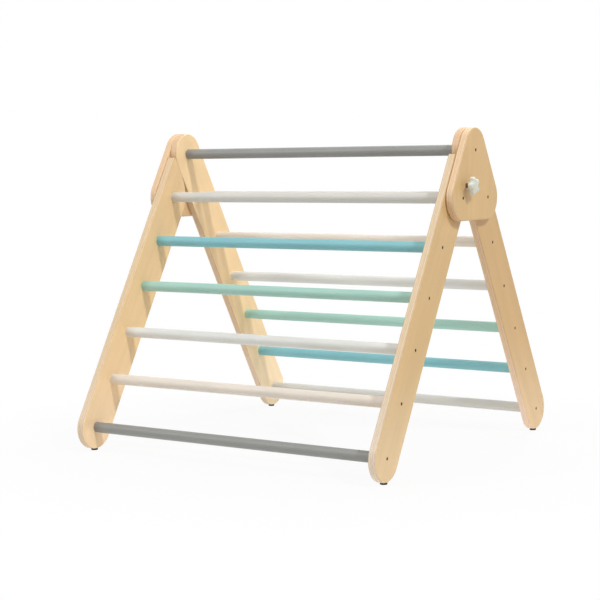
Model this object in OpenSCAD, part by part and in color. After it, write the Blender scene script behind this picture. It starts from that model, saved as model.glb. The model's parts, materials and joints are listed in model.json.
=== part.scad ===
// Folding climbing triangle: two ladders of painted rungs between plywood rails,
// hinged at the top between two plywood plates and held open by two screw knobs.
// Frame: X runs along the rungs, the front ladder stands at -Y, the back ladder at +Y,
// Z is up, and the origin is on the floor at the middle of the four feet.

/* [Ladders] */
// Clear width between the two back rails
inner_w = 775; // [500:5:1000]
// Distance from one rung to the next along a rail
rung_pitch = 125; // [121:1:150]
// Angle between the two ladders when the triangle stands open
spread = 61; // [58:1:66]
// Diameter of a rung
rung_d = 25; // [20:0.5:35]
// Bevel at each end of a rung
rung_bevel = 1; // [0:0.25:2]

/* [Rails] */
// Width of a rail across its flat face
rail_w = 103; // [80:1:106]
// Thickness of the plywood of a rail
rail_t = 18; // [15:0.5:24]
// Radius that is rounded onto the long edges of rails and plates
edge_r = 3; // [1:0.5:6]
// Depth of the blind socket that holds the end of a rung
socket_depth = 10; // [6:0.5:12]
// Height that is sawn off the round end of a rail to make its foot
foot_trim = 1.2; // [1:0.1:6]
// Height of the level top of a front rail below the axis of the top rung
front_top_drop = 8.6; // [0:0.2:20]

/* [Hinge] */
// Thickness of the plywood of a hinge plate
plate_t = 18; // [15:0.5:24]
// Gap between the slanted top of a front rail and the edge of the back rail, its stop
stop_gap = 1.5; // [0.5:0.1:2.5]
// Radius of the curve from the slanted top of a front rail into its rear edge, which has to
// swing past the back rail
swing_r = 88; // [60:1:110]
// Gap between a front rail and the hinge plate beside it
side_gap = 1; // [0.9:0.1:2]
// Diameter of the smooth shoulder of a pivot screw
pivot_d = 5; // [4:0.5:6]
// Outer diameter of the washer between a front rail and its plate
pivot_washer_d = 20; // [12:1:30]

/* [Lock] */
// Distance from the pivot up the front rail to the lock screw
lock_offset = 32; // [26:1:40]
// Diameter of the lock stud
stud_d = 8; // [6:0.5:10]
// Bevel at the tip of the stud
stud_bevel = 1; // [0.5:0.25:2]
// Width of the step at which the stud's collar bears on the washer
collar_step = 1.5; // [1:0.25:3]
// Length of the stud that is held in the knob
stud_in_knob = 8; // [5:0.5:9]
// Diameter over the lobes of a knob
knob_d = 42; // [36:1:50]
// Diameter of a lobe of a knob
lobe_d = 13; // [11:0.5:14]
// Thickness of a knob
knob_t = 12; // [10:0.5:16]
// Radius that rounds the front rim of a knob's lobes
knob_round = 5; // [2:0.5:6]
// Length of the stud's collar, from the washer to the knob
collar_l = 11; // [8:0.5:16]
// Outer diameter of the steel washer under a knob
lock_washer_d = 16; // [16:1:24]
// Thickness of the steel washer under a knob
lock_washer_t = 1.6; // [0.8:0.1:2]
// Outer diameter of the threaded insert's barrel
insert_d = 11; // [11:0.5:14]
// Length of the threaded insert
insert_l = 14; // [8:0.5:14.5]
// Diameter of the insert's flange
flange_d = 17; // [15.5:0.5:22]
// Thickness of the insert's flange
flange_t = 1.5; // [1:0.1:2]

/* [Screws] */
// Diameter of a wood screw's shank
screw_d = 4; // [3:0.5:4.5]
// Diameter of a countersunk screw head
head_d = 7.5; // [7:0.5:10]
// Depth of a screw head below the face of the plywood
head_sink = 0.5; // [0:0.1:1]
// Length of a screw through a rail into a rung
rail_screw_l = 40; // [30:5:60]
// Length of a screw through a hinge plate and a rail into a rung
plate_screw_l = 60; // [50:5:80]
// Width of the arms of the cross recess in a screw head
recess_w = 0.9; // [0.6:0.1:1.2]
// Depth of the cross recess
recess_depth = 1.1; // [0.6:0.1:1.3]
// Length of the arms of the cross recess, tip to tip
recess_l = 5; // [3:0.25:5.5]
// Diameter of a screw's blunt point
point_d = 1; // [0.5:0.1:2]

/* [Feet] */
// Thickness of a rubber foot pad
pad_t = 5; // [3:0.5:8]
// Distance that the round foot pads lie inside the faces of their rail
pad_inset = 1; // [0.5:0.25:3]
// Radius that rounds the lower rim of a foot pad
pad_rim = 1; // [0.5:0.25:1.75]

/* [Clearances] */
// Radial clearance of a shaft that turns in its hole
run_clear = 0.05; // [0.02:0.01:0.1]
// Radial clearance of a screw, stud or rung that sits fixed in its hole
seat_clear = 0.05; // [0.02:0.01:0.2]
// Gap between two faces that slide over each other
face_gap = 0.3; // [0.2:0.05:0.5]
// Length of a pilot hole past the point of its screw
pilot_extra = 2; // [1:0.5:5]

/* [Hidden] */
// Rungs of one ladder below the top rung
RUNGS = 6;
// Lobes of a knob
LOBES = 5;
// Distance that a cutter runs past the face it cuts
past = 1;
// Distance that a board's straight sides lie inside the tangents to its round corners, and
// that the centre of an edge's rounding lies deeper, so that faces cross and never just touch
side_dip = 0.1;
edge_lean = 0.3;
// Distance that the cutter of a straight side's rounding runs on past both its ends
side_run = 10;
// Steps of a full turn of the large curves, the lobes of the knob and the small roundings
$fn = 96;
LOBE_STEPS = 48;
ROUNDING_STEPS = 32;

WOOD = "burlywood";
DARK_GREY = [0.58, 0.58, 0.57];
LIGHT_GREY = [0.84, 0.84, 0.83];
BEIGE = [0.94, 0.88, 0.80];
MINT = [0.70, 0.80, 0.74];
BLUE = [0.55, 0.72, 0.76];
BACK_COLOURS = [DARK_GREY, LIGHT_GREY, BEIGE, LIGHT_GREY, MINT, BLUE, LIGHT_GREY];
FRONT_COLOURS = [DARK_GREY, LIGHT_GREY, BLUE, MINT, LIGHT_GREY, BEIGE, DARK_GREY];

half_spread = spread / 2;
rail_l = RUNGS * rung_pitch;
rail_r = rail_w / 2;
foot_h = rail_r - foot_trim;
pad_r = rail_t / 2 - pad_inset;
apex_z = pad_t + foot_h + rail_l * cos(half_spread);
// Reach of a cutter that takes away everything on one side of a plane
far = rail_l + rail_w;

back_rail_x = inner_w / 2;
front_rail_x = back_rail_x - side_gap;
plate_x = back_rail_x + rail_t;
plate_face_x = plate_x + plate_t;

// Places in the Y-Z plane, at a distance down the back or the front rail from the top rung
function on_back(s) = [s * sin(half_spread), apex_z - s * cos(half_spread)];
function on_front(s) = [-on_back(s).x, on_back(s).y];

pivot = on_front(rung_pitch);
lock = on_front(rung_pitch - lock_offset);
// Centre of the curve of a front rail's upper rear corner
swing_at = [
    -(2 * swing_r + stop_gap - side_dip) / (2 * cos(half_spread)),
    apex_z - (rail_w + stop_gap - side_dip) / (2 * sin(half_spread))
];

stud_tip = plate_t + side_gap - face_gap;
collar_base = lock_washer_t + 2 * face_gap;
knob_base = collar_base + collar_l;

// ---- Placing ----

// The right side as drawn, or its mirror image on the left
module on_side(side) {
    if (side > 0)
        children();
    else
        mirror([1, 0, 0]) children();
}

// A shape drawn flat and raised along +Z, stood up so that it lies in Y-Z and rises along +X from x
module stand(x, at = [0, 0]) {
    translate([x, at.x, at.y])
        rotate([90, 0, 90])
            children();
}

// ---- Plywood shapes with rounded edges ----

function direction(v) = atan2(v.y, v.x);

// Half planes that together hold everything less than d outside the sides between the points,
// which go anticlockwise
module between_sides(points, d) {
    n = len(points);
    intersection_for(i = [0 : n - 1]) {
        along = points[(i + 1) % n] - points[i];
        translate(points[i])
            rotate(direction(along))
                translate([-far, -d])
                    square([norm(along) + 2 * far, 2 * far]);
    }
}

// Outline of a board with round corners of radius r at the points and straight sides between
module board_outline(points, r) {
    n = len(points);
    intersection() {
        union() {
            polygon([
                for (i = [0 : n - 1], ahead = [0, 1])
                    let (along = points[(i + ahead) % n] - points[(i + ahead + n - 1) % n])
                        points[i] + r * [along.y, -along.x] / norm(along)
            ]);
            for (at = points)
                translate(at)
                    circle(r);
        }
        between_sides(points, r - side_dip);
    }
}

// Section of what a router takes off an edge at distance r and height t
module edge_waste(r, t, e) {
    translate([r - e - edge_lean, t - e - edge_lean])
        difference() {
            square(e + edge_lean + past);
            circle(norm([e + edge_lean, edge_lean]), $fn = ROUNDING_STEPS);
        }
}

// A board of thickness t whose long edges are rounded to about radius e on both faces, along
// the straight sides, whose cutters run on past the corners, and round the corners
module rounded_board(points, r, t, e) {
    n = len(points);
    difference() {
        linear_extrude(t)
            board_outline(points, r);
        for (i = [0 : n - 1], face = [0, 1]) {
            along = points[(i + 1) % n] - points[i];
            heading = direction(along);
            old_heading = direction(points[i] - points[(i + n - 1) % n]);
            translate([points[i].x, points[i].y, face * t])
                mirror([0, 0, face]) {
                    rotate(heading)
                        translate([-side_run, 0, 0])
                            mirror([0, 1, 0])
                                rotate([90, 0, 90])
                                    linear_extrude(norm(along) + 2 * side_run)
                                        edge_waste(r - side_dip, t, e);
                    rotate(old_heading - 90)
                        rotate_extrude(angle = (heading - old_heading + 360) % 360)
                            edge_waste(r, t, e - side_dip);
                }
        }
    }
}

// A rail of a ladder that leans by the given angle, round at the top rung's axis and at its foot
module rail_board(lean) {
    translate([0, apex_z])
        rotate(lean)
            rounded_board([[0, 0], [0, -rail_l]], rail_r, rail_t, edge_r);
}

// ---- Screws, with the head's face at z = 0 and the point towards -Z ----

// Space or body of a countersunk head: clear adds room all round, up is how far it is cut above
module head_shape(shank_d, clear, up) {
    cone_h = (head_d - shank_d) / 2;
    rotate_extrude()
        polygon([
            [0, up],
            [head_d / 2 + clear, up],
            [head_d / 2 + clear, -clear],
            [shank_d / 2 + clear, -clear - cone_h],
            [0, -clear - cone_h]
        ]);
}

module screw(shank_d, length) {
    difference() {
        union() {
            head_shape(shank_d, 0, 0);
            rotate_extrude()
                polygon([
                    [0, -recess_depth],
                    [shank_d / 2, -recess_depth],
                    [shank_d / 2, shank_d - length],
                    [point_d / 2, -length],
                    [0, -length]
                ]);
        }
        for (turn = [0, 90])
            rotate(turn)
                translate([-recess_l / 2, -recess_w / 2, -recess_depth])
                    cube([recess_l, recess_w, recess_depth + past]);
    }
}

// Hole through plywood for a screw whose head lies head_sink below the face at z = 0
module screw_hole(shank_d, depth, clear) {
    translate([0, 0, -head_sink]) {
        head_shape(shank_d, clear, head_sink + past);
        translate([0, 0, -depth])
            cylinder(d = shank_d + 2 * clear, h = depth);
    }
}

// ---- Rails ----

module round_hole(at, d, from, to) {
    translate([at.x, at.y, from])
        cylinder(d = d, h = to - from);
}

// Blind sockets for rungs, on the rail's inner face at z = 0
module sockets(places) {
    for (at = places)
        round_hole(at, rung_d + 2 * seat_clear, -past, socket_depth);
}

// Screw holes from the rail's outer face into its sockets
module rail_screw_holes(places) {
    for (at = places)
        translate([at.x, at.y, rail_t])
            screw_hole(screw_d, rail_t, seat_clear);
}

// Plain holes for screws that come through the hinge plate
module plain_holes(places, d) {
    for (at = places)
        round_hole(at, d + 2 * seat_clear, socket_depth - past, rail_t + past);
}

module below_foot() {
    translate([-far, pad_t - far, -past])
        cube([2 * far, far, rail_t + 2 * past]);
}

module back_rail(side) {
    color(WOOD)
        on_side(side)
            stand(back_rail_x)
                difference() {
                    rail_board(half_spread);
                    below_foot();
                    sockets([for (i = [0 : RUNGS]) on_back(i * rung_pitch)]);
                    plain_holes([for (i = [0, 1]) on_back(i * rung_pitch)], screw_d);
                    rail_screw_holes([for (i = [2 : RUNGS]) on_back(i * rung_pitch)]);
                }
}

// What is cut off the top of a front rail: level at the top, slanted along the back rail that
// it stops against, and curved where the corner below swings past the back rail. The curve
// crosses the slant and the rear edge by the same dip as a board's round corners, and its edges
// are rounded as theirs are.
module front_rail_cuts() {
    depth = rail_t + 2 * past;
    translate([-far, apex_z - front_top_drop, -past])
        cube([2 * far, far, depth]);
    translate([0, apex_z, -past])
        rotate(half_spread - 90)
            translate([-far, -rail_r - stop_gap, 0])
                cube([2 * far, far, depth]);
    translate([swing_at.x, swing_at.y, 0])
        rotate(-half_spread) {
            rotate_extrude(angle = spread)
                translate([swing_r, -past])
                    square([rail_r, depth]);
            for (face = [0, 1])
                translate([0, 0, face * rail_t])
                    mirror([0, 0, face])
                        rotate_extrude(angle = spread)
                            edge_waste(swing_r, rail_t, edge_r - side_dip);
        }
}

module front_rail(side) {
    color(WOOD)
        on_side(side)
            stand(front_rail_x)
                difference() {
                    rail_board(-half_spread);
                    front_rail_cuts();
                    below_foot();
                    sockets([for (i = [1 : RUNGS]) on_front(i * rung_pitch)]);
                    plain_holes([pivot], pivot_d);
                    rail_screw_holes([for (i = [2 : RUNGS]) on_front(i * rung_pitch)]);
                }
}

// ---- Hinge plates ----

module hinge_plate(side) {
    color(WOOD)
        on_side(side)
            stand(plate_x)
                difference() {
                    rounded_board([on_back(0), pivot, on_back(rung_pitch)], rail_r, plate_t, edge_r);
                    for (at = [on_back(0), on_back(rung_pitch)])
                        translate([at.x, at.y, plate_t])
                            screw_hole(screw_d, plate_t, seat_clear);
                    translate([pivot.x, pivot.y, plate_t])
                        screw_hole(pivot_d, plate_t, run_clear);
                    round_hole(lock, stud_d + 2 * face_gap, -past, plate_t + past);
                    round_hole(lock, insert_d + 2 * seat_clear, -past, insert_l);
                    round_hole(lock, flange_d + 2 * seat_clear, -past, flange_t);
                }
}

module pivot_washer(side) {
    color("whitesmoke")
        on_side(side)
            stand(front_rail_x + rail_t, pivot)
                difference() {
                    cylinder(d = pivot_washer_d, h = side_gap - face_gap);
                    round_hole([0, 0], pivot_d + 2 * seat_clear, -past, side_gap);
                }
}

module pivot_screw(side) {
    color("dimgray")
        on_side(side)
            stand(plate_face_x - head_sink, pivot)
                screw(pivot_d, plate_screw_l);
}

// ---- Rungs ----

// A rung whose ends stand at the bottom of sockets that begin at x, with a pilot hole for the
// screw that comes in from each end
module rung(at, x, tint, shank_d, pilot) {
    length = 2 * (x + socket_depth);
    color(tint)
        stand(-length / 2, at)
            difference() {
                rotate_extrude()
                    polygon([
                        [0, 0],
                        [rung_d / 2 - rung_bevel, 0],
                        [rung_d / 2, rung_bevel],
                        [rung_d / 2, length - rung_bevel],
                        [rung_d / 2 - rung_bevel, length],
                        [0, length]
                    ]);
                for (from = [-past, length - pilot])
                    round_hole([0, 0], shank_d + 2 * seat_clear, from, from + pilot + past);
            }
}

// Depth of the hole that a screw needs in the end of a rung, when its head starts at head_x
function pilot_depth(head_x, rail_x, length) = rail_x + socket_depth - (head_x - length) + pilot_extra;

rail_pilot = pilot_depth(rail_t - head_sink, 0, rail_screw_l);
plate_pilot = pilot_depth(plate_face_x - head_sink, back_rail_x, plate_screw_l);
pivot_pilot = pilot_depth(plate_face_x - head_sink, front_rail_x, plate_screw_l);

module back_rung(i) {
    rung(on_back(i * rung_pitch), back_rail_x, BACK_COLOURS[i], screw_d, i < 2 ? plate_pilot : rail_pilot);
}

module front_rung(i) {
    rung(on_front(i * rung_pitch), front_rail_x, FRONT_COLOURS[i],
        i == 1 ? pivot_d : screw_d, i == 1 ? pivot_pilot : rail_pilot);
}

// ---- Screws of the rails and plates ----

module back_screws(side) {
    color("dimgray")
        on_side(side)
            for (i = [2 : RUNGS])
                stand(back_rail_x + rail_t - head_sink, on_back(i * rung_pitch))
                    screw(screw_d, rail_screw_l);
}

module front_screws(side) {
    color("dimgray")
        on_side(side)
            for (i = [2 : RUNGS])
                stand(front_rail_x + rail_t - head_sink, on_front(i * rung_pitch))
                    screw(screw_d, rail_screw_l);
}

module plate_screws(side) {
    color("dimgray")
        on_side(side)
            for (i = [0, 1])
                stand(plate_face_x - head_sink, on_back(i * rung_pitch))
                    screw(screw_d, plate_screw_l);
}

// ---- Lock: a knob on a stud that screws through the plate and clamps the front rail ----

// Outline of a knob: round lobes joined by hollows that are tangent to them
module knob_outline() {
    step = 360 / LOBES;
    lobe_r = lobe_d / 2;
    lobe_at = (knob_d - lobe_d) / 2;
    hollow_at = lobe_at * cos(step / 2) + sqrt(lobe_d * lobe_d - pow(lobe_at * sin(step / 2), 2));
    difference() {
        union() {
            polygon([
                for (i = [0 : 2 * LOBES - 1])
                    (i % 2 == 0 ? lobe_at : hollow_at) * [cos(i * step / 2), sin(i * step / 2)]
            ]);
            for (i = [0 : LOBES - 1])
                rotate(i * step)
                    translate([lobe_at, 0])
                        circle(lobe_r, $fn = LOBE_STEPS);
        }
        for (i = [0 : LOBES - 1])
            rotate((i + 0.5) * step)
                translate([hollow_at, 0])
                    circle(lobe_r, $fn = LOBE_STEPS);
    }
}

// What the outline is turned down to: a disc with a well rounded front rim
module knob_turning() {
    rotate_extrude() {
        square([knob_d / 2 - knob_round, knob_t]);
        square([knob_d / 2, knob_t - knob_round]);
        translate([knob_d / 2 - knob_round, knob_t - knob_round])
            circle(knob_round, $fn = LOBE_STEPS);
    }
}

module lock_knob(side) {
    color("whitesmoke")
        on_side(side)
            stand(plate_face_x + knob_base, lock)
                difference() {
                    intersection() {
                        rotate(180)
                            linear_extrude(knob_t)
                                knob_outline();
                        knob_turning();
                    }
                    round_hole([0, 0], stud_d + 2 * seat_clear, -past, stud_in_knob);
                }
}

// A stud with a collar that carries the knob and bears on the washer
module lock_stud(side) {
    collar_r = stud_d / 2 + collar_step;
    color("dimgray")
        on_side(side)
            stand(plate_face_x - stud_tip, lock)
                rotate_extrude()
                    polygon([
                        [0, 0],
                        [stud_d / 2 - stud_bevel, 0],
                        [stud_d / 2, stud_bevel],
                        [stud_d / 2, stud_tip + collar_base],
                        [collar_r, stud_tip + collar_base],
                        [collar_r, stud_tip + knob_base],
                        [stud_d / 2, stud_tip + knob_base],
                        [stud_d / 2, stud_tip + knob_base + stud_in_knob],
                        [0, stud_tip + knob_base + stud_in_knob]
                    ]);
}

module lock_washer(side) {
    color("silver")
        on_side(side)
            stand(plate_face_x + face_gap, lock)
                difference() {
                    cylinder(d = lock_washer_d, h = lock_washer_t);
                    round_hole([0, 0], stud_d + 2 * run_clear, -past, lock_washer_t + past);
                }
}

module lock_insert(side) {
    color("silver")
        on_side(side)
            stand(plate_x, lock)
                difference() {
                    union() {
                        cylinder(d = insert_d, h = insert_l);
                        cylinder(d = flange_d, h = flange_t);
                    }
                    round_hole([0, 0], stud_d + 2 * run_clear, -past, insert_l + past);
                }
}

// ---- Feet ----

module foot_pad(side, at, rail_x) {
    color("dimgray")
        on_side(side)
            translate([rail_x + rail_t / 2, at.x, 0])
                rotate_extrude() {
                    square([pad_r - pad_rim, pad_t]);
                    translate([0, pad_rim])
                        square([pad_r, pad_t - pad_rim]);
                    translate([pad_r - pad_rim, pad_rim])
                        circle(pad_rim, $fn = ROUNDING_STEPS);
                }
}

back_rail(1);  // back_rail_right
back_rail(-1);  // back_rail_left
front_rail(1);  // front_rail_right
front_rail(-1);  // front_rail_left
hinge_plate(1);  // hinge_plate_right
hinge_plate(-1);  // hinge_plate_left
back_rung(0);  // top_rung
for (i = [1 : RUNGS]) {
    back_rung(i);
    front_rung(i);
}
pivot_screw(1);  // pivot_screw_right
pivot_screw(-1);  // pivot_screw_left
pivot_washer(1);  // pivot_washer_right
pivot_washer(-1);  // pivot_washer_left
lock_knob(1);  // lock_knob_right
lock_knob(-1);  // lock_knob_left
lock_stud(1);  // lock_stud_right
lock_stud(-1);  // lock_stud_left
lock_washer(1);  // lock_washer_right
lock_washer(-1);  // lock_washer_left
lock_insert(1);  // lock_insert_right
lock_insert(-1);  // lock_insert_left
back_screws(1);  // back_screws_right
back_screws(-1);  // back_screws_left
front_screws(1);  // front_screws_right
front_screws(-1);  // front_screws_left
plate_screws(1);  // plate_screws_right
plate_screws(-1);  // plate_screws_left
foot_pad(1, on_back(rail_l), back_rail_x);  // back_foot_right
foot_pad(-1, on_back(rail_l), back_rail_x);  // back_foot_left
foot_pad(1, on_front(rail_l), front_rail_x);  // front_foot_right
foot_pad(-1, on_front(rail_l), front_rail_x);  // front_foot_left
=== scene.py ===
"""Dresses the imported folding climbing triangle: lacquered plywood, painted rungs, threaded
screws, lobed lock knobs, rubber feet, and a plain pale studio.

Run as a script, it makes everything. Its operators make one group of pieces each.
"""

import json
import math

import bpy
import numpy as np
from mathutils import Matrix, Vector


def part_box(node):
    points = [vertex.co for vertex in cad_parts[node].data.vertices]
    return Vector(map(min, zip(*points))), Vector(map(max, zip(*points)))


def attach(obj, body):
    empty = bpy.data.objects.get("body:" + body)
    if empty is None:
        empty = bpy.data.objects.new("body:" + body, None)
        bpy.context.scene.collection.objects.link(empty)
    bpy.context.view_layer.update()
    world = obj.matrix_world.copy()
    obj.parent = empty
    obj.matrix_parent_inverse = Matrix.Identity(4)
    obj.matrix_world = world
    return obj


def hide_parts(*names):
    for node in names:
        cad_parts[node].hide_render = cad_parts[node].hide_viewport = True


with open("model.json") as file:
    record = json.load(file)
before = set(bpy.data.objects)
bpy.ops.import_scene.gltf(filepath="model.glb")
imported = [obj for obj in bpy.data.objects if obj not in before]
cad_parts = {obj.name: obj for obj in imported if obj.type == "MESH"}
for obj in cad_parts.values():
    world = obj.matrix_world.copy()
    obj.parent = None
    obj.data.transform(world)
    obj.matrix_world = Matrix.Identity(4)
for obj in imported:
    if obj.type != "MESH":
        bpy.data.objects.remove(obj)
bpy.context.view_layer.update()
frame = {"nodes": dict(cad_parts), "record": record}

bl_info = {
    "name": "Climbing triangle dressing",
    "version": (1, 0, 0),
    "blender": (4, 5, 0),
    "location": "View3D > Sidebar > Triangle",
    "description": "Finishes and fine pieces for a folding climbing triangle",
    "category": "Object",
}

MM = 0.001
SIDES = ("right", "left")
HALF_SPREAD = math.radians(30.5)  # lean of each ladder from upright
# Lean of each board's face grain from upright
BOARD_LEANS = {"back_rail": -HALF_SPREAD, "front_rail": HALF_SPREAD, "hinge_plate": 0.0}
# Painted light and shade on each board's birch, against the mean: red, green and blue of its
# faces, then of its edges, and then how much paler both are painted at the feet, where the
# floor throws light up. The shares stand in for the light that falls on each board, so the
# left boards are painted lighter and the right ones darker
BOARD_PAINTED_LIGHT = {
    "back_rail_right": ((0.85, 0.81, 0.73), (0.97, 0.94, 0.92), (1.14, 1.25, 1.55)),
    "front_rail_right": ((0.92, 0.92, 0.87), (0.98, 1.08, 1.14), (1.08, 1.16, 1.38)),
    "hinge_plate_right": ((0.92, 0.91, 0.85), (1.04, 1.05, 1.04), (1.0, 1.0, 1.0)),
    "back_rail_left": ((1.13, 1.21, 1.36), (0.92, 0.92, 0.92), (1.07, 1.17, 1.38)),
    "front_rail_left": ((1.02, 1.05, 1.12), (0.94, 1.02, 1.04), (1.05, 1.1, 1.25)),
    "hinge_plate_left": ((0.9, 0.9, 0.97), (1.0, 1.0, 1.0), (1.0, 1.0, 1.0)),
}
RUNG_PAINTS = {
    "top_rung": "dark_grey",
    "back_rung_1": "light_grey",
    "back_rung_2": "beige",
    "back_rung_3": "pale_grey",
    "back_rung_4": "mint",
    "back_rung_5": "blue",
    "back_rung_6": "light_grey",
    "front_rung_1": "light_grey",
    "front_rung_2": "blue",
    "front_rung_3": "mint",
    "front_rung_4": "pale_grey",
    "front_rung_5": "beige",
    "front_rung_6": "dark_grey",
}


def linear(hex_colour):
    """An sRGB hex colour such as #C8A165 as linear red, green, blue and an alpha of 1."""
    parts = [int(hex_colour[i : i + 2], 16) / 255 for i in (1, 3, 5)]
    return [
        p / 12.92 if p <= 0.04045 else ((p + 0.055) / 1.055) ** 2.4 for p in parts
    ] + [1.0]


def colour_property(name, hex_colour, description):
    """A colour that the user can set, with an sRGB hex colour as its default."""
    return bpy.props.FloatVectorProperty(
        name=name,
        description=description,
        subtype="COLOR",
        size=4,
        min=0,
        max=1,
        default=linear(hex_colour),
    )


# ---- Settings that a user would change ----


class PlywoodSettings(bpy.types.PropertyGroup):
    """Colours and build-up of the plywood boards."""

    face: colour_property("Face veneer", "#E9C48F", "Mean colour of the face veneers")
    core: colour_property("Long plies", "#E3C49C", "Mean colour of the long plies in an edge")
    cross: colour_property("Cross plies", "#DBB894", "Mean colour of the end grain in an edge")
    glue: colour_property("Glue lines", "#B58A62", "Dried glue between two plies")
    plies: bpy.props.IntProperty(
        name="Plies", description="Veneers in a board, an odd number", default=9, min=3, max=15
    )
    face_veneer: bpy.props.FloatProperty(
        name="Face veneer",
        description="Thickness of each outer veneer after sanding",
        default=1.0 * MM,
        min=0.5 * MM,
        max=2.5 * MM,
        unit="LENGTH",
        precision=5,
    )
    gloss_roughness: bpy.props.FloatProperty(
        name="Lacquer roughness",
        description="Roughness of the satin lacquer",
        default=0.46,
        min=0,
        max=1,
        subtype="FACTOR",
    )


class PaintSettings(bpy.types.PropertyGroup):
    """Colours of the painted rungs."""

    dark_grey: colour_property("Dark grey", "#898986", "Top rung and lowest front rung")
    light_grey: colour_property("Light grey", "#CCC9C2", "Highest and lowest pale rungs")
    pale_grey: colour_property("Pale grey", "#D8D8D3", "Pale rungs half way down")
    beige: colour_property("Beige", "#E0D6C9", "Beige rungs")
    mint: colour_property("Mint", "#9DC6B9", "Mint rungs")
    blue: colour_property("Blue", "#7CB7BE", "Blue rungs")
    roughness: bpy.props.FloatProperty(
        name="Paint roughness",
        description="Roughness of the satin paint",
        default=0.42,
        min=0,
        max=1,
        subtype="FACTOR",
    )


class HardwareSettings(bpy.types.PropertyGroup):
    """Fine sizes of the screws and the lock."""

    screw_pitch: bpy.props.FloatProperty(
        name="Screw pitch",
        description="Advance of a wood screw's thread in one turn",
        default=2.0 * MM,
        min=1 * MM,
        max=3 * MM,
        unit="LENGTH",
        precision=5,
    )
    stud_pitch: bpy.props.FloatProperty(
        name="Stud pitch",
        description="Advance of the lock stud's thread in one turn",
        default=1.25 * MM,
        min=1 * MM,
        max=1.5 * MM,
        unit="LENGTH",
        precision=5,
    )
    recess_depth: bpy.props.FloatProperty(
        name="Recess depth",
        description="Depth of the cross recess at the middle of a screw head",
        default=1.5 * MM,
        min=0.5 * MM,
        max=2 * MM,
        unit="LENGTH",
        precision=5,
    )
    lobes: bpy.props.IntProperty(
        name="Knob lobes", description="Lobes round a lock knob", default=5, min=3, max=8
    )


class StageSettings(bpy.types.PropertyGroup):
    """Lamps of the pale studio."""

    lamp_power: bpy.props.FloatProperty(
        name="Lamps",
        description="Power of the key lamp, to which the other lamps keep their share",
        default=325,
        min=0,
        unit="POWER",
    )
    ambient: bpy.props.FloatProperty(
        name="Ambient", description="Strength of the room's even light", default=0.16, min=0, max=2
    )
    # Painted light: strength of the glow of the floor's middle, unseen by the camera, that lights
    # the triangle from under
    floor_light: bpy.props.FloatProperty(
        name="Floor light",
        description="Light that the table's lit middle throws up under the triangle",
        default=0.5,
        min=0,
        max=2,
    )


SETTINGS = (
    ("triangle_plywood", PlywoodSettings),
    ("triangle_paint", PaintSettings),
    ("triangle_hardware", HardwareSettings),
    ("triangle_stage", StageSettings),
)


# ---- Materials ----


def add(tree, kind, inputs=None, **settings):
    """Adds a shader node with its settings. Each input is a value, or a socket to link from."""
    node = tree.nodes.new("ShaderNode" + kind)
    for name, value in settings.items():
        setattr(node, name, value)
    for key, value in (inputs or {}).items():
        if isinstance(value, bpy.types.NodeSocket):
            tree.links.new(value, node.inputs[key])
        else:
            node.inputs[key].default_value = value
    return node


def new_material(name, **shader_values):
    """A material with only a Principled shader and an output. Returns it, its tree and its
    shader."""
    material = bpy.data.materials.new(name)
    material.use_nodes = True
    tree = material.node_tree
    tree.nodes.clear()
    shader = add(
        tree,
        "BsdfPrincipled",
        {key.replace("_", " "): value for key, value in shader_values.items()},
    )
    add(tree, "OutputMaterial", {"Surface": shader.outputs["BSDF"]})
    return material, tree, shader


def seen_or_reflected(tree):
    """A socket that is 1 for a ray from the camera, a mirror reflection or through glass, and 0
    for a ray that gathers light."""
    path = add(tree, "LightPath").outputs
    seen = path["Is Camera Ray"]
    for ray in ("Is Glossy Ray", "Is Transmission Ray"):
        seen = add(tree, "Math", {0: seen, 1: path[ray]}, operation="MAXIMUM").outputs[0]
    return seen


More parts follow.
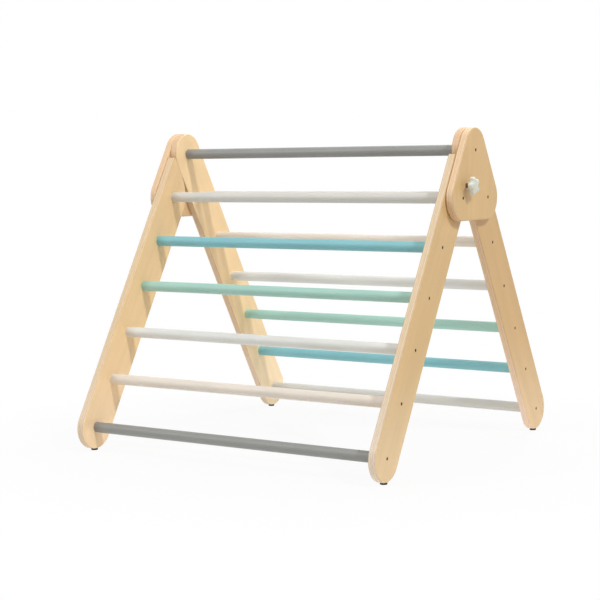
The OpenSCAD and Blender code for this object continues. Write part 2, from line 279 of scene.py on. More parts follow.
def plywood(name, inner_x, outer_x, lean, painted_light, settings):
    """Birch plywood, routed, sanded and satin lacquered. The veneers are true layers through the
    board's thickness, so the faces show long grain, and every edge shows long plies and the
    speckled end grain of cross plies between thin glue lines. Real plies are 1.4 mm thick and
    are drawn 2.3 mm thick, so that they tell in an edge seen from across a room. The board
    lies between inner_x and outer_x on the right, and its mirror image on the left. Its last
    argument is the board's painted light and shade: shares for its faces, its edges and its
    feet, which stand in for the light that falls on them."""
    material, tree, shader = new_material(name, IOR=1.5, Roughness=settings.gloss_roughness)
    where = add(tree, "TexCoord").outputs["Object"]
    grain = add(tree, "Mapping", {"Vector": where, "Rotation": (lean, 0, 0)}).outputs["Vector"]

    # Patterns of the wood: how many features lie in a metre across the board's thickness,
    # across the grain and along it, then the noise's detail, roughness and distortion
    patterns = []
    for per_metre, detail, roughness, distortion in (
        # Waviness of the glue lines
        ((0, 14, 9), 1.0, 0.5, 0.0),
        # Long grain: figure about 30 mm wide and 400 mm long, streaks 1.2 mm wide, pores 0.3 mm
        ((6, 30, 2.5), 3.0, 0.5, 0.4),
        ((500, 800, 16), 3.0, 0.6, 0.0),
        ((1500, 3200, 170), 1.0, 0.5, 0.0),
        # End grain: speckle of about 0.6 mm in clumps of 4 mm
        ((1600, 1600, 1600), 2.0, 0.7, 0.0),
        ((250, 250, 60), 2.0, 0.5, 0.0),
    ):
        stretched = add(tree, "VectorMath", {0: grain, 1: per_metre}, operation="MULTIPLY")
        pattern = add(
            tree,
            "TexNoise",
            {
                "Vector": stretched.outputs["Vector"],
                "Scale": 1.0,
                "Detail": detail,
                "Roughness": roughness,
                "Distortion": distortion,
            },
        )
        patterns.append(pattern.outputs["Fac"])
    wave, figure, streaks, pores, speckle, clumps = patterns

    # Depth in the board in core plies, from the inner face, with a slow waviness of 0.15 mm
    waviness = 0.15 * MM
    core = (outer_x - inner_x - 2 * settings.face_veneer) / (settings.plies - 2)
    across = add(tree, "SeparateXYZ", {"Vector": where}).outputs["X"]
    beyond = add(tree, "Math", {0: across}, operation="ABSOLUTE").outputs[0]
    depth = add(
        tree,
        "Math",
        {0: beyond, 1: 1 / core, 2: (core - settings.face_veneer - inner_x) / core},
        operation="MULTIPLY_ADD",
    ).outputs[0]
    wavy = add(
        tree, "Math", {0: wave, 1: 2 * waviness / core, 2: depth}, operation="MULTIPLY_ADD"
    ).outputs[0]
    level = add(tree, "Math", {0: wavy, 1: waviness / core}, operation="SUBTRACT").outputs[0]
    index = add(tree, "Math", {0: level}, operation="FLOOR").outputs[0]
    is_cross = add(tree, "Math", {0: index, 1: 2.0}, operation="MODULO").outputs[0]
    # 1 in the core and 0 in the two face veneers
    in_core = add(
        tree,
        "Math",
        {0: level, 1: settings.plies / 2, 2: settings.plies / 2 - 1},
        operation="COMPARE",
    ).outputs[0]
    from_glue = add(tree, "Math", {0: level, 1: 0.5}, operation="PINGPONG").outputs[0]
    glued = add(
        tree,
        "MapRange",
        {"Value": from_glue, "From Min": 0.02, "From Max": 0.06, "To Min": 0.6, "To Max": 0.0},
    ).outputs["Result"]

    # How much the long grain and the end grain lighten or darken the wood
    mixed = add(
        tree, "Math", {0: streaks, 1: 0.45, 2: figure}, operation="MULTIPLY_ADD"
    ).outputs[0]
    figured = add(
        tree,
        "MapRange",
        {"Value": mixed, "From Min": 0.45, "From Max": 1.0, "To Min": 1.06, "To Max": 0.93},
    ).outputs["Result"]
    pored = add(
        tree,
        "MapRange",
        {"Value": pores, "From Min": 0.6, "From Max": 0.74, "To Min": 1.0, "To Max": 0.88},
    ).outputs["Result"]

    ends = add(tree, "Math", {0: speckle, 1: clumps}, operation="ADD").outputs[0]
    speckled = add(
        tree,
        "MapRange",
        {"Value": ends, "From Min": 0.75, "From Max": 1.25, "To Min": 1.1, "To Max": 0.88},
    ).outputs["Result"]

    # Each ply is cut from another log, so its tone differs a little
    log = add(tree, "TexWhiteNoise", {"W": index}, noise_dimensions="1D").outputs["Value"]
    log_tone = add(
        tree, "MapRange", {"Value": log, "To Min": 0.96, "To Max": 1.03}
    ).outputs["Result"]

    # Painted light and shade: faces and edges are multiplied by the board's own shares, lighter or
    # darker for the light that falls on that board
    face, core_ply, cross_ply = (
        [part * share for part, share in zip(colour, painted_share)] + [1.0]
        for colour, painted_share in zip(
            (settings.face, settings.core, settings.cross), (painted_light[0], painted_light[1], painted_light[1])
        )
    )
    long_ply = add(
        tree, "Mix", {"Factor": in_core, 6: face, 7: core_ply}, data_type="RGBA"
    ).outputs[2]
    ply = add(
        tree, "Mix", {"Factor": is_cross, 6: long_ply, 7: cross_ply}, data_type="RGBA"
    ).outputs[2]
    wood = add(
        tree, "Mix", {"Factor": glued, 6: ply, 7: settings.glue}, data_type="RGBA"
    ).outputs[2]
    marked = add(
        tree, "Mix", {"Factor": is_cross, 2: figured, 3: speckled}, data_type="FLOAT"
    ).outputs[0]
    shade = add(tree, "Math", {0: pored, 1: marked}, operation="MULTIPLY").outputs[0]
    toned = add(tree, "Math", {0: shade, 1: log_tone}, operation="MULTIPLY").outputs[0]
    # Painted light: the wood is painted paler towards the feet, up to 300 mm from the floor, for
    # the light that the floor throws up
    up = add(tree, "SeparateXYZ", {"Vector": where}).outputs["Z"]
    low = add(
        tree,
        "MapRange",
        {"Value": up, "From Min": 30 * MM, "From Max": 300 * MM, "To Min": 1.0, "To Max": 0.0},
        interpolation_type="SMOOTHSTEP",
    ).outputs["Result"]
    painted_floor_bounce = add(
        tree,
        "Mix",
        {"Factor": low, 6: (1, 1, 1, 1), 7: (*painted_light[2], 1)},
        data_type="RGBA",
    ).outputs[2]
    floor_bounce_wood = add(tree, "VectorMath", {0: wood, 1: painted_floor_bounce}, operation="MULTIPLY").outputs["Vector"]
    colour = add(tree, "VectorMath", {0: floor_bounce_wood, "Scale": toned}, operation="SCALE")
    tree.links.new(colour.outputs["Vector"], shader.inputs["Base Color"])

    # Lacquer lies a little deeper in pores and soft grain
    relief = add(
        tree, "Math", {0: streaks, 1: 0.6, 2: pored}, operation="MULTIPLY_ADD"
    ).outputs[0]
    bump = add(tree, "Bump", {"Height": relief, "Strength": 0.25, "Distance": 0.05 * MM})
    tree.links.new(bump.outputs["Normal"], shader.inputs["Normal"])
    return material


def painted_beech(name, colour, roughness):
    """Beech dowel, sanded and dipped in satin paint: even colour, with the long grain just
    telling through the film as fine ridges along the rung."""
    material, tree, shader = new_material(name, IOR=1.5)
    where = add(tree, "TexCoord").outputs["Object"]
    # Features in a metre along and across the rung: ridges 1.1 mm wide and 70 mm long, and
    # patches of tone 17 mm wide and 110 mm long
    patterns = []
    for per_metre, detail, fineness in (((14, 900, 900), 3.0, 0.6), ((9, 60, 60), 2.0, 0.5)):
        stretched = add(tree, "VectorMath", {0: where, 1: per_metre}, operation="MULTIPLY")
        pattern = add(
            tree,
            "TexNoise",
            {
                "Vector": stretched.outputs["Vector"],
                "Scale": 1.0,
                "Detail": detail,
                "Roughness": fineness,
            },
        )
        patterns.append(pattern.outputs["Fac"])
    grain, patches = patterns
    light = [min(1.0, c * 1.03) for c in colour[:3]] + [1.0]
    deep = [c * 0.94 for c in colour[:3]] + [1.0]
    tint = add(
        tree, "MapRange", {"Value": patches, "From Min": 0.3, "From Max": 0.7}
    ).outputs["Result"]
    base = add(tree, "Mix", {"Factor": tint, 6: light, 7: deep}, data_type="RGBA").outputs[2]
    tree.links.new(base, shader.inputs["Base Color"])
    gloss = add(
        tree,
        "MapRange",
        {"Value": grain, "To Min": roughness - 0.06, "To Max": roughness + 0.1},
    ).outputs["Result"]
    tree.links.new(gloss, shader.inputs["Roughness"])
    bump = add(tree, "Bump", {"Height": grain, "Strength": 0.22, "Distance": 0.06 * MM})
    tree.links.new(bump.outputs["Normal"], shader.inputs["Normal"])
    return material


def browned_steel(name, low, high, metallic):
    """Steel, rolled or turned, browned by an oxide bath and oiled, which leaves a dull sheen in
    clouds of about 1.5 mm. The thicker the film, the darker and the less metallic it looks."""
    material, tree, shader = new_material(name, Metallic=metallic)
    where = add(tree, "TexCoord").outputs["Object"]
    cloud = add(
        tree, "TexNoise", {"Vector": where, "Scale": 700.0, "Detail": 3.0}
    ).outputs["Fac"]
    colour = add(
        tree, "Mix", {"Factor": cloud, 6: linear(low), 7: linear(high)}, data_type="RGBA"
    ).outputs[2]
    tree.links.new(colour, shader.inputs["Base Color"])
    gloss = add(tree, "MapRange", {"Value": cloud, "To Min": 0.38, "To Max": 0.6})
    tree.links.new(gloss.outputs["Result"], shader.inputs["Roughness"])
    return material


def zinc_steel():
    """Turned steel with bright zinc plating: clear reflections broken by a crystalline mottle of
    about 1 mm."""
    material, tree, shader = new_material("zinc_plated_steel", Metallic=1.0)
    where = add(tree, "TexCoord").outputs["Object"]
    mottle = add(
        tree,
        "TexNoise",
        {"Vector": where, "Scale": 900.0, "Detail": 3.0, "Roughness": 0.6},
    ).outputs["Fac"]
    colour = add(
        tree,
        "Mix",
        {"Factor": mottle, 6: linear("#B9BBBC"), 7: linear("#D2D2CE")},
        data_type="RGBA",
    ).outputs[2]
    tree.links.new(colour, shader.inputs["Base Color"])
    gloss = add(tree, "MapRange", {"Value": mottle, "To Min": 0.22, "To Max": 0.4})
    tree.links.new(gloss.outputs["Result"], shader.inputs["Roughness"])
    return material


def moulded_plastic(name, low, high, roughness, grit):
    """Injection moulded plastic from a spark-eroded mould: a fine matt grit, and an even colour
    in faint clouds of about 11 mm."""
    material, tree, shader = new_material(name, IOR=1.47)
    where = add(tree, "TexCoord").outputs["Object"]
    # Features in a metre: the mould's grit, and the clouds
    patterns = []
    for per_metre in (1 / grit, 90):
        stretched = add(tree, "VectorMath", {0: where, "Scale": per_metre}, operation="SCALE")
        pattern = add(
            tree,
            "TexNoise",
            {"Vector": stretched.outputs["Vector"], "Scale": 1.0, "Detail": 2.0},
        )
        patterns.append(pattern.outputs["Fac"])
    sparks, clouds = patterns
    colour = add(
        tree, "Mix", {"Factor": clouds, 6: linear(low), 7: linear(high)}, data_type="RGBA"
    ).outputs[2]
    tree.links.new(colour, shader.inputs["Base Color"])
    gloss = add(
        tree,
        "MapRange",
        {"Value": sparks, "To Min": roughness - 0.06, "To Max": roughness + 0.08},
    ).outputs["Result"]
    tree.links.new(gloss, shader.inputs["Roughness"])
    bump = add(tree, "Bump", {"Height": sparks, "Strength": 0.2, "Distance": 0.02 * MM})
    tree.links.new(bump.outputs["Normal"], shader.inputs["Normal"])
    return material


# ---- Surfaces worked out on grids ----


def turned_rings(x, radius, at, around):
    """Rings of a turned piece along X: ring i lies at x[i] with radius[i], which may also be a
    table of radius against angle, about the axis through at = (y, z)."""
    angle = np.arange(around) * 2 * np.pi / around
    radius = np.broadcast_to(np.asarray(radius, float).reshape(len(x), -1), (len(x), around))
    rings = np.empty((len(x), around, 3))
    rings[..., 0] = np.asarray(x, float).reshape(len(x), -1)
    rings[..., 1] = at[0] + radius * np.cos(angle)
    rings[..., 2] = at[1] + radius * np.sin(angle)
    return rings


def closed_skins(name, many_rings, material, crease=35):
    """One mesh from stacks of rings. Each stack is quads from ring to ring, and a fan from its
    first and last ring to their middles, so it is closed. A skin that encloses a negative
    volume is turned round, so that its faces point outwards."""
    corners, quads, fans, start = [], [], [], 0
    for rings in many_rings:
        n, m = rings.shape[:2]
        points = np.vstack([rings.reshape(-1, 3), rings[0].mean(0), rings[-1].mean(0)])
        here = np.arange(n * m).reshape(n, m)
        ahead = np.roll(here, -1, axis=1)
        q = np.stack([here[:-1], here[1:], ahead[1:], ahead[:-1]], axis=-1).reshape(-1, 4)
        first = np.stack([here[0], ahead[0], np.full(m, n * m)], axis=-1)
        last = np.stack([ahead[-1], here[-1], np.full(m, n * m + 1)], axis=-1)
        f = np.vstack([first, last])
        t = np.vstack([q[:, [0, 1, 2]], q[:, [0, 2, 3]], f])
        a, b, c = points[t[:, 0]], points[t[:, 1]], points[t[:, 2]]
        if np.einsum("ij,ij->i", a, np.cross(b, c)).sum() < 0:
            q, f = q[:, ::-1], f[:, ::-1]
        corners.append(points)
        quads.append(q + start)
        fans.append(f + start)
        start += len(points)
    corners, quads, fans = np.vstack(corners), np.vstack(quads), np.vstack(fans)
    mesh = bpy.data.meshes.new(name)
    mesh.vertices.add(len(corners))
    mesh.vertices.foreach_set("co", corners.astype(np.float32).ravel())
    mesh.loops.add(quads.size + fans.size)
    mesh.loops.foreach_set("vertex_index", np.concatenate([quads.ravel(), fans.ravel()]))
    mesh.polygons.add(len(quads) + len(fans))
    starts = np.concatenate(
        [np.arange(len(quads)) * 4, quads.size + np.arange(len(fans)) * 3]
    )
    mesh.polygons.foreach_set("loop_start", starts)
    mesh.update(calc_edges=True)
    mesh.validate()
    mesh.polygons.foreach_set("use_smooth", np.ones(len(mesh.polygons), bool))
    mesh.set_sharp_from_angle(angle=math.radians(crease))
    mesh.materials.append(material)
    piece = bpy.data.objects.new(name, mesh)
    bpy.context.scene.collection.objects.link(piece)
    return piece


def node_middle(node):
    """(y, z) of the middle of a CAD node, and its lowest and highest x."""
    low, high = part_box(node)
    return ((low.y + high.y) / 2, (low.z + high.z) / 2), low.x, high.x


def body_holding(node):
    """Name of the CAD body that a node belongs to."""
    for body, members in frame["record"]["behaviour"]["bodies"].items():
        if node in members:
            return body
    raise RuntimeError(f"no body holds {node}")


def dress(node, material):
    """Gives a CAD node one material."""
    slots = frame["nodes"][node].data.materials
    slots.clear()
    slots.append(material)


def finish_piece(piece, node):
    """The new piece stands for the CAD node, which it hides, and rides on its body."""
    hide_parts(node)
    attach(piece, body_holding(node))


def rung_rings(node, radius=12.5 * MM, bevel=1 * MM, around=96):
    """A rung: straight, with the CAD's radius all along, and bevels at its ends that are quarter
    turns of a circle."""
    at, x0, x1 = node_middle(node)
    turn = np.linspace(0, np.pi / 2, 7)
    inset = bevel * (1 - np.sin(turn))
    step = bevel * (1 - np.cos(turn))
    x = np.concatenate([x0 + step, x1 - step[::-1]])
    r = np.concatenate([radius - inset, (radius - inset)[::-1]])
    return turned_rings(x, r, at, around)


def cross_recess(r, angle, depth):
    """Depth below the face of a screw head with a cross recess: two arms whose floor rises from
    the middle to the tips, with steep smooth walls. A wall falls from the arm's edge inwards as
    the smooth step of the distance from that edge."""
    arm_half_width, wall_width = 0.62 * MM, 0.16 * MM
    arm_length, tip_length = 2.4 * MM, 0.35 * MM
    floor_rise = 0.45  # share of the depth that is lost at the tips
    u, v = np.abs(r * np.cos(angle)), np.abs(r * np.sin(angle))
    across, along = np.minimum(u, v), np.maximum(u, v)
    wall = np.clip((arm_half_width - across) / wall_width, 0, 1)
    tip = np.clip((arm_length - along) / tip_length, 0, 1)
    floor = depth * (1 - floor_rise * along / arm_length)
    inside = np.minimum(wall, tip)
    return floor * inside * inside * (3 - 2 * inside)


def screw_rings(face_x, out, at, shank_d, length, shoulder, pitch, recess, head_d=7.5 * MM):
    """A countersunk wood screw as one skin: the face with its recess, the rim, the cone, a plain
    shoulder, and a shank whose radius rises to a ridge where the height and the angle agree
    with the helix, down to a cone point. Every row is a ring with its radius and its depth
    below the face."""
    around, face_rings, rings_in_pitch = 72, 33, 7
    rim = 0.15 * MM
    angle = np.arange(around) * 2 * np.pi / around
    face_r = np.linspace(0, head_d / 2 - rim, face_rings + 1)[1:]
    rows_r = [np.full(around, r) for r in face_r]
    rows_d = [0.02 * MM + cross_recess(r, angle, recess) for r in face_r]
    cone = (head_d - shank_d) / 2
    for r, d in (
        (head_d / 2 - 0.04 * MM, 0.05 * MM),
        (head_d / 2, 0.16 * MM),
        (head_d / 2 - 0.1 * MM, 0.3 * MM),
        (shank_d / 2, cone + 0.05 * MM),
        (shank_d / 2, shoulder),
    ):
        rows_r.append(np.full(around, r))
        rows_d.append(np.full(around, d))

    # The thread: its root, its ridge's half width as a share of the pitch, and its run-out
    root = 0.68 * shank_d / 2
    ridge_half, sharpness = 0.24, 1.3
    run_out, point = 1.5 * pitch, 1.6 * shank_d
    down = np.arange(shoulder + 0.4 * MM, length - 0.1 * MM, pitch / rings_in_pitch)
    phase = (down[:, None] / pitch + angle / (2 * np.pi)) % 1.0
    ridge = np.clip(1 - np.abs(phase - 0.5) / ridge_half, 0, 1) ** sharpness
    taper = np.clip((length - down) / point, 0.06, 1)[:, None]
    fade = np.clip((down - shoulder) / run_out, 0, 1)[:, None]
    body = (root + (shank_d / 2 - root) * ridge * fade) * taper
    rows_r.extend(body)
    rows_d.extend(np.full(around, d) for d in down)
    rows_r.append(np.full(around, 0.04 * MM))
    rows_d.append(np.full(around, length))
    return turned_rings(face_x - out * np.array(rows_d), np.array(rows_r), at, around)


def stud_rings(x_tip, x_collar, x_knob, x_end, at, pitch, diameter=8 * MM, collar_d=11 * MM):
    """The lock stud as one skin: a rod whose radius is a rounded triangle wave of the helix's
    phase between the thread's root and its crest, faded out in the bevel at its tip, then a
    plain collar with small bevels, and a plain end inside the knob."""
    around, rings_in_pitch = 72, 8
    tip_bevel, collar_bevel = 1 * MM, 0.4 * MM
    thread_depth = 0.61 * pitch
    # The wave is steeper than the phase and cut off at both ends, which leaves narrow flat
    # crests and roots
    steepness, crest_width = 2.6, 0.15
    angle = np.arange(around) * 2 * np.pi / around
    out = 1 if x_end > x_tip else -1
    collar, knob, end = (abs(x - x_tip) for x in (x_collar, x_knob, x_end))
    along = np.arange(0, collar - 0.3 * MM, pitch / rings_in_pitch)
    phase = (along[:, None] / pitch - out * angle / (2 * np.pi)) % 1.0
    wave = np.clip(np.abs(phase - 0.5) * steepness - crest_width, 0, 1)
    crest, root = diameter / 2 - 0.01 * MM, diameter / 2 - thread_depth
    radius = root + (crest - root) * (1 - wave)
    bevel = np.clip(crest - tip_bevel + along, 0, crest)[:, None]
    radius = np.minimum(radius, bevel)
    plain = (
        (collar, root),
        (collar, collar_d / 2 - collar_bevel),
        (collar + collar_bevel, collar_d / 2),
        (knob - collar_bevel, collar_d / 2),
        (knob, collar_d / 2 - collar_bevel),
        (knob, crest),
        (end, crest),
    )
    rings_x = np.concatenate([along, [x for x, _ in plain]])
    radius = np.vstack([radius, *(np.full(around, r) for _, r in plain)])
    return turned_rings(x_tip + out * rings_x, radius, at, around)


def lobed_radius(angle, lobes, outer=21 * MM, lobe_r=6.5 * MM):
    """Radius of a lobed knob against angle: round lobes, joined by hollows of the same radius
    that are tangent to them. Within a lobe it is the far side of the lobe's circle as seen
    from the middle, and in a hollow the near side of the hollow's circle."""
    step = 2 * np.pi / lobes
    lobe_at = outer - lobe_r
    half = step / 2
    hollow_at = lobe_at * math.cos(half) + math.sqrt(
        4 * lobe_r**2 - (lobe_at * math.sin(half)) ** 2
    )
    touch = math.atan2(
        hollow_at * math.sin(half), lobe_at + hollow_at * math.cos(half)
    )
    phi = np.abs((angle - np.pi + half) % step - half)
    on_lobe = lobe_at * np.cos(phi) + np.sqrt(
        np.maximum(lobe_r**2 - (lobe_at * np.sin(phi)) ** 2, 0)
    )
    psi = half - phi
    in_hollow = hollow_at * np.cos(psi) - np.sqrt(
        np.maximum(lobe_r**2 - (hollow_at * np.sin(psi)) ** 2, 0)
    )
    return np.where(phi <= touch, on_lobe, in_hollow)


def knob_rings(base_x, out, at, lobes):
    """A lock knob as one skin: up the wall of its blind bore, across its back, round the lobes
    with a small radius behind and a large one in front, and over the shallow crown to a round
    cap set in a fine groove. A ring is the lobed outline drawn in by the rounding, and turns
    into a circle towards the cap."""
    around = 240
    # Sizes in mm, with heights from the back
    bore_r, bore_depth, bore_bevel, back_from = 4.05, 8.0, 0.3, 5.0
    back_rounding, front_rounding, wall_top = 1.2, 5.0, 5.6
    crown, groove_floor, groove_out, groove_in = 11.55, 11.25, 9.1, 8.8
    cap_edge, cap_r, cap_rise, cap_middle = 11.6, 8.6, 0.35, 0.2
    angle = np.arange(around) * 2 * np.pi / around
    lobed = lobed_radius(angle, lobes) / MM
    circle = np.ones(around)
    rows = []

    def ring(height, radius):
        rows.append((height * MM, radius * MM))

    for h in (bore_depth, bore_depth - 0.1, bore_bevel):
        ring(h, circle * bore_r)
    ring(0.05, circle * (bore_r + 0.25))
    ring(0.0, circle * (bore_r + 0.55))
    under = lobed - back_rounding
    for share in (0.2, 0.5, 0.8, 1.0):
        ring(0.0, back_from * (1 - share) + under * share)
    for turn in np.linspace(0, np.pi / 2, 6)[1:]:
        ring(
            back_rounding * (1 - math.cos(turn)), lobed - back_rounding * (1 - math.sin(turn))
        )
    for h in (2.5, 4.0, wall_top):
        ring(h, lobed)
    # The front rounding stops short of a quarter turn, where the crown takes over
    for turn in np.linspace(0, 0.44 * np.pi, 12)[1:]:
        ring(
            wall_top + front_rounding * math.sin(turn),
            lobed - front_rounding * (1 - math.cos(turn)),
        )
    edge_h, edge_r = rows[-1][0] / MM, rows[-1][1] / MM
    for share in np.linspace(0, 1, 10)[1:]:
        height = edge_h + (crown - edge_h) * (1 - (1 - share) ** 2)
        ring(height, edge_r * (1 - share) + (groove_out + 0.2) * share)
    for h, r in ((groove_floor, groove_out), (groove_floor, groove_in), (cap_edge, cap_r)):
        ring(h, circle * r)
    for share in np.linspace(0, 1, 8)[1:]:
        height = cap_edge + cap_rise * (1 - (1 - share) ** 2)
        ring(height, circle * (cap_r * (1 - share) + cap_middle))
    heights, radii = (np.array(column) for column in zip(*rows))
    return turned_rings(base_x + out * heights, radii, at, around)


# ---- Operators ----


class DressBoards(bpy.types.Operator):
    """Gives the rails and hinge plates their lacquered plywood"""

    bl_idname = "triangle.dress_boards"
    bl_label = "Plywood boards"

    def execute(self, context):
        settings = context.scene.triangle_plywood
        for node, painted_light in BOARD_PAINTED_LIGHT.items():
            board = node.rsplit("_", 1)[0]
            low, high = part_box(board + "_right")
            name = f"lacquered_plywood_{node}"
            dress(node, plywood(name, low.x, high.x, BOARD_LEANS[board], painted_light, settings))
        return {"FINISHED"}


class MakeRungs(bpy.types.Operator):
    """Makes the thirteen painted rungs"""

    bl_idname = "triangle.make_rungs"
    bl_label = "Painted rungs"

    def execute(self, context):
        settings = context.scene.triangle_paint
        paints = {
            tint: painted_beech(
                f"satin_paint_{tint}", tuple(getattr(settings, tint)), settings.roughness
            )
            for tint in sorted(set(RUNG_PAINTS.values()))
        }
        for node, tint in RUNG_PAINTS.items():
            piece = closed_skins(f"painted_{node}", [rung_rings(node)], paints[tint])
            finish_piece(piece, node)
        return {"FINISHED"}


class MakeScrews(bpy.types.Operator):
    """Makes the wood screws of rails and plates and the pivot screws"""

    bl_idname = "triangle.make_screws"
    bl_label = "Screws"

    def execute(self, context):
        settings = context.scene.triangle_hardware
        steel = browned_steel("browned_steel_screws", "#1E1406", "#2E2110", 0.1)
        for side in SIDES:
            out = 1 if side == "right" else -1
            # Node group, the rungs that its screws hold, and length, diameter and plain shoulder
            # of a screw in mm
            groups = (
                ("back_screws", [f"back_rung_{i}" for i in range(2, 7)], 40, 4, 14),
                ("front_screws", [f"front_rung_{i}" for i in range(2, 7)], 40, 4, 14),
                ("plate_screws", ["top_rung", "back_rung_1"], 60, 4, 30),
                ("pivot_screw", ["front_rung_1"], 60, 5, 38),
            )
            for group, rungs, length, shank_d, shoulder in groups:
                low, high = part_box(f"{group}_{side}")
                face_x = high.x if out > 0 else low.x
                skins = [
                    screw_rings(
                        face_x,
                        out,
                        node_middle(rung)[0],
                        shank_d * MM,
                        length * MM,
                        shoulder * MM,
                        settings.screw_pitch,
                        settings.recess_depth,
                    )
                    for rung in rungs
                ]
                piece = closed_skins(f"cross_head_{group}_{side}", skins, steel, crease=50)
                finish_piece(piece, f"{group}_{side}")
        return {"FINISHED"}


class MakeLocks(bpy.types.Operator):
    """Makes the lobed knobs and threaded studs, and finishes the washers and inserts"""

    bl_idname = "triangle.make_locks"
    bl_label = "Lock knobs"

    def execute(self, context):
        settings = context.scene.triangle_hardware
        plastic = moulded_plastic("knob_plastic_moulded", "#D9DDD0", "#E4E6DA", 0.4, 0.35 * MM)
        nylon = moulded_plastic("nylon_washer_moulded", "#E6E4DC", "#EFEDE6", 0.45, 0.3 * MM)
        # Browned steel for the studs, painted lighter and browner: painted reflection of the shaded
        # wood round the stud under the knob
        stud_steel_painted_reflection = browned_steel("browned_steel_stud", "#8A6847", "#A5825C", 0.4)
        zinc = zinc_steel()
        collar_gap = 0.3 * MM
        for side in SIDES:
            out = 1 if side == "right" else -1
            at, *stud_x = node_middle(f"lock_stud_{side}")
            _, *knob_x = node_middle(f"lock_knob_{side}")
            _, *washer_x = node_middle(f"lock_washer_{side}")
            # From the middle of the triangle outwards. The collar starts in front of the washer
            tip, end = stud_x[::out]
            back, _ = knob_x[::out]
            collar = washer_x[::out][1] + out * collar_gap
            knob = closed_skins(
                f"lobed_knob_{side}",
                [knob_rings(back, out, at, settings.lobes)],
                plastic,
                crease=40,
            )
            finish_piece(knob, f"lock_knob_{side}")
            stud = closed_skins(
                f"threaded_stud_{side}",
                [stud_rings(tip, collar, back, end, at, settings.stud_pitch)],
                stud_steel_painted_reflection,
                crease=50,
            )
            finish_piece(stud, f"lock_stud_{side}")
            dress(f"lock_washer_{side}", zinc)
            dress(f"lock_insert_{side}", zinc)
            dress(f"pivot_washer_{side}", nylon)
        return {"FINISHED"}


class DressFeet(bpy.types.Operator):
    """Gives the foot pads their rubber"""

    bl_idname = "triangle.dress_feet"
    bl_label = "Rubber feet"

    def execute(self, context):
        rubber = moulded_plastic("foot_rubber_moulded", "#2A2826", "#35322F", 0.62, 0.5 * MM)
        for side in SIDES:
            for ladder in ("back", "front"):
                dress(f"{ladder}_foot_{side}", rubber)
        return {"FINISHED"}


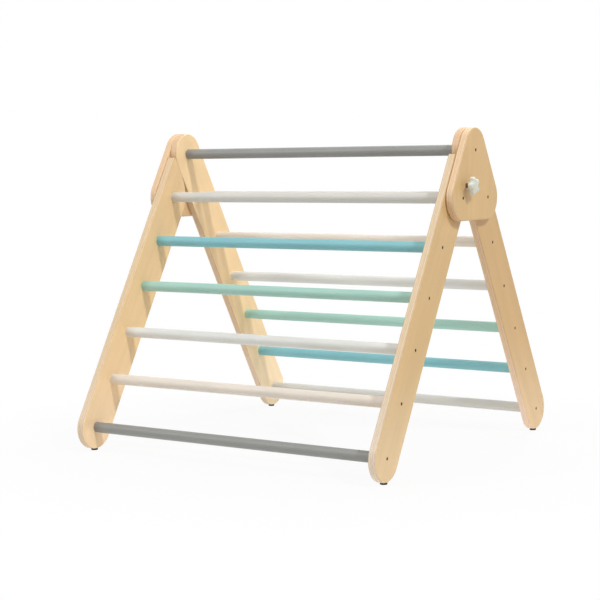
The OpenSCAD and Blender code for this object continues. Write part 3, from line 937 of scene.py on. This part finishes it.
class SetStage(bpy.types.Operator):
    """Makes the pale floor, the studio lamps and the camera"""

    bl_idname = "triangle.set_stage"
    bl_label = "Studio"

    def execute(self, context):
        settings = context.scene.triangle_stage
        scene = context.scene

        # Floor: matt paper, mostly plain white to the camera and to reflections
        material = bpy.data.materials.new("pale_floor")
        material.use_nodes = True
        tree = material.node_tree
        tree.nodes.clear()
        matt = add(tree, "BsdfDiffuse", {"Color": linear("#D3D2D0")})
        glow = add(tree, "Emission", {"Color": (1, 1, 1, 1), "Strength": 1.0})
        seen = seen_or_reflected(tree)
        # The floor's own light and shade fade out to plain white away from the triangle
        spot = add(tree, "TexCoord").outputs["Object"]
        away = add(tree, "VectorMath", {0: spot}, operation="LENGTH").outputs["Value"]
        plain = add(
            tree,
            "MapRange",
            {"Value": away, "From Min": 0.4, "From Max": 1.1, "To Min": 0.92, "To Max": 1.0},
            interpolation_type="SMOOTHSTEP",
        ).outputs["Result"]
        share = add(tree, "Math", {0: seen, 1: plain}, operation="MULTIPLY").outputs[0]
        # Painted light: its middle glows where the camera doesn't see it, and throws light up under
        # the triangle
        glow_near_middle = add(
            tree,
            "MapRange",
            {
                "Value": away,
                "From Min": 0.4,
                "From Max": 1.0,
                "To Min": settings.floor_light,
                "To Max": 0.0,
            },
            interpolation_type="SMOOTHSTEP",
        ).outputs["Result"]
        unseen = add(tree, "Math", {0: 1.0, 1: seen}, operation="SUBTRACT").outputs[0]
        thrown = add(tree, "Math", {0: glow_near_middle, 1: unseen}, operation="MULTIPLY").outputs[0]
        hidden_floor_glow = add(tree, "Emission", {"Color": (1, 1, 1, 1), "Strength": thrown})
        lower = add(tree, "AddShader", {0: matt.outputs["BSDF"], 1: hidden_floor_glow.outputs["Emission"]})
        both = add(
            tree,
            "MixShader",
            {0: share, 1: lower.outputs["Shader"], 2: glow.outputs["Emission"]},
        )
        add(tree, "OutputMaterial", {"Surface": both.outputs["Shader"]})
        edge = 30.0  # from the middle, far past the camera
        mesh = bpy.data.meshes.new("studio_floor")
        mesh.from_pydata(
            [(-edge, -edge, 0), (edge, -edge, 0), (edge, edge, 0), (-edge, edge, 0)],
            [],
            [(0, 1, 2, 3)],
        )
        mesh.materials.append(material)
        floor = bpy.data.objects.new("studio_floor", mesh)
        scene.collection.objects.link(floor)

        # Room: even light, and plain white where it is seen or reflected
        world = bpy.data.worlds.new("studio_room")
        world.use_nodes = True
        tree = world.node_tree
        tree.nodes.clear()
        room = add(tree, "Background", {"Color": (1, 1, 1, 1), "Strength": settings.ambient})
        white = add(tree, "Background", {"Color": (1, 1, 1, 1), "Strength": 1.0})
        both = add(
            tree,
            "MixShader",
            {
                0: seen_or_reflected(tree),
                1: room.outputs["Background"],
                2: white.outputs["Background"],
            },
        )
        add(tree, "OutputWorld", {"Surface": both.outputs["Shader"]})
        scene.world = world

        # A distant key lamp high at the right casts the clear shadows, and large softboxes round
        # about fill them. Each has its place, its diameter and its share of the key's power
        middle = Vector((0, 0, 0.35))
        lamps = (
            ("key_lamp", (6.0, -1.7, 6.3), 0.9, 1.0),
            ("overhead_lamp", (0.05, 0.1, 3.2), 0.6, 0.045),
            ("back_overhead_softbox", (0.2, 1.3, 2.6), 1.2, 0.058),
            ("front_overhead_softbox", (-0.6, -1.4, 2.2), 1.2, 0.034),
            ("front_left_softbox", (-1.8, -2.4, 1.8), 1.2, 0.068),
            ("front_high_softbox", (0.8, -2.8, 2.8), 1.2, 0.052),
            ("back_softbox", (0.0, 2.4, 1.8), 1.2, 0.028),
            ("back_right_softbox", (2.2, 1.6, 1.6), 1.2, 0.024),
        )
        for name, place, size, share in lamps:
            lamp = bpy.data.lights.new(name, "AREA")
            lamp.shape = "DISK"
            lamp.size = size
            lamp.energy = settings.lamp_power * share
            holder = bpy.data.objects.new(name, lamp)
            holder.location = place
            aim = middle - Vector(place)
            holder.rotation_euler = aim.to_track_quat("-Z", "Y").to_euler()
            scene.collection.objects.link(holder)

        # Camera: worked out for a square frame of 600 pixels from the lines of the rungs and rails.
        # Angles are in radians, and back, right and up are the camera's own axes
        place = (1.95483, -3.12956, 0.67141)
        yaw, pitch, roll = 0.57055, 0.08852, -0.0097
        focal_pixels, frame_pixels, sensor_mm = 1521.32, 600, 36
        back = Vector(
            (math.sin(yaw) * math.cos(pitch), -math.cos(yaw) * math.cos(pitch), math.sin(pitch))
        )
        level = Vector((math.cos(yaw), math.sin(yaw), 0))
        upright = back.cross(level)
        right = level * math.cos(roll) + upright * math.sin(roll)
        up = upright * math.cos(roll) - level * math.sin(roll)
        view = bpy.data.cameras.new("photo_view")
        view.sensor_width = sensor_mm
        view.sensor_fit = "HORIZONTAL"
        view.lens = sensor_mm * focal_pixels / frame_pixels
        camera = bpy.data.objects.new("photo_view", view)
        turn = Matrix((right, up, back)).transposed().to_4x4()
        camera.matrix_world = Matrix.Translation(place) @ turn
        scene.collection.objects.link(camera)
        scene.camera = camera
        scene.view_settings.view_transform = "Standard"
        return {"FINISHED"}


STEPS = (DressBoards, MakeRungs, MakeScrews, MakeLocks, DressFeet, SetStage)


class TrianglePanel(bpy.types.Panel):
    """Lists the settings and the steps that make the pieces"""

    bl_idname = "VIEW3D_PT_triangle"
    bl_label = "Climbing triangle"
    bl_space_type = "VIEW_3D"
    bl_region_type = "UI"
    bl_category = "Triangle"

    def draw(self, context):
        for name, group in SETTINGS:
            box = self.layout.box()
            for setting in group.__annotations__:
                box.prop(getattr(context.scene, name), setting)
        for step in STEPS:
            self.layout.operator(step.bl_idname)


CLASSES = tuple(group for _, group in SETTINGS) + STEPS + (TrianglePanel,)


def register():
    """Registers the classes and gives every scene the settings."""
    for cls in CLASSES:
        bpy.utils.register_class(cls)
    for name, group in SETTINGS:
        setattr(bpy.types.Scene, name, bpy.props.PointerProperty(type=group))


def unregister():
    """Takes back what register did."""
    for name, _ in SETTINGS:
        delattr(bpy.types.Scene, name)
    for cls in reversed(CLASSES):
        bpy.utils.unregister_class(cls)


def main():
    """Runs every step."""
    register()
    for step in STEPS:
        group, name = step.bl_idname.split(".")
        getattr(getattr(bpy.ops, group), name)()


if __name__ == "__main__":
    main()
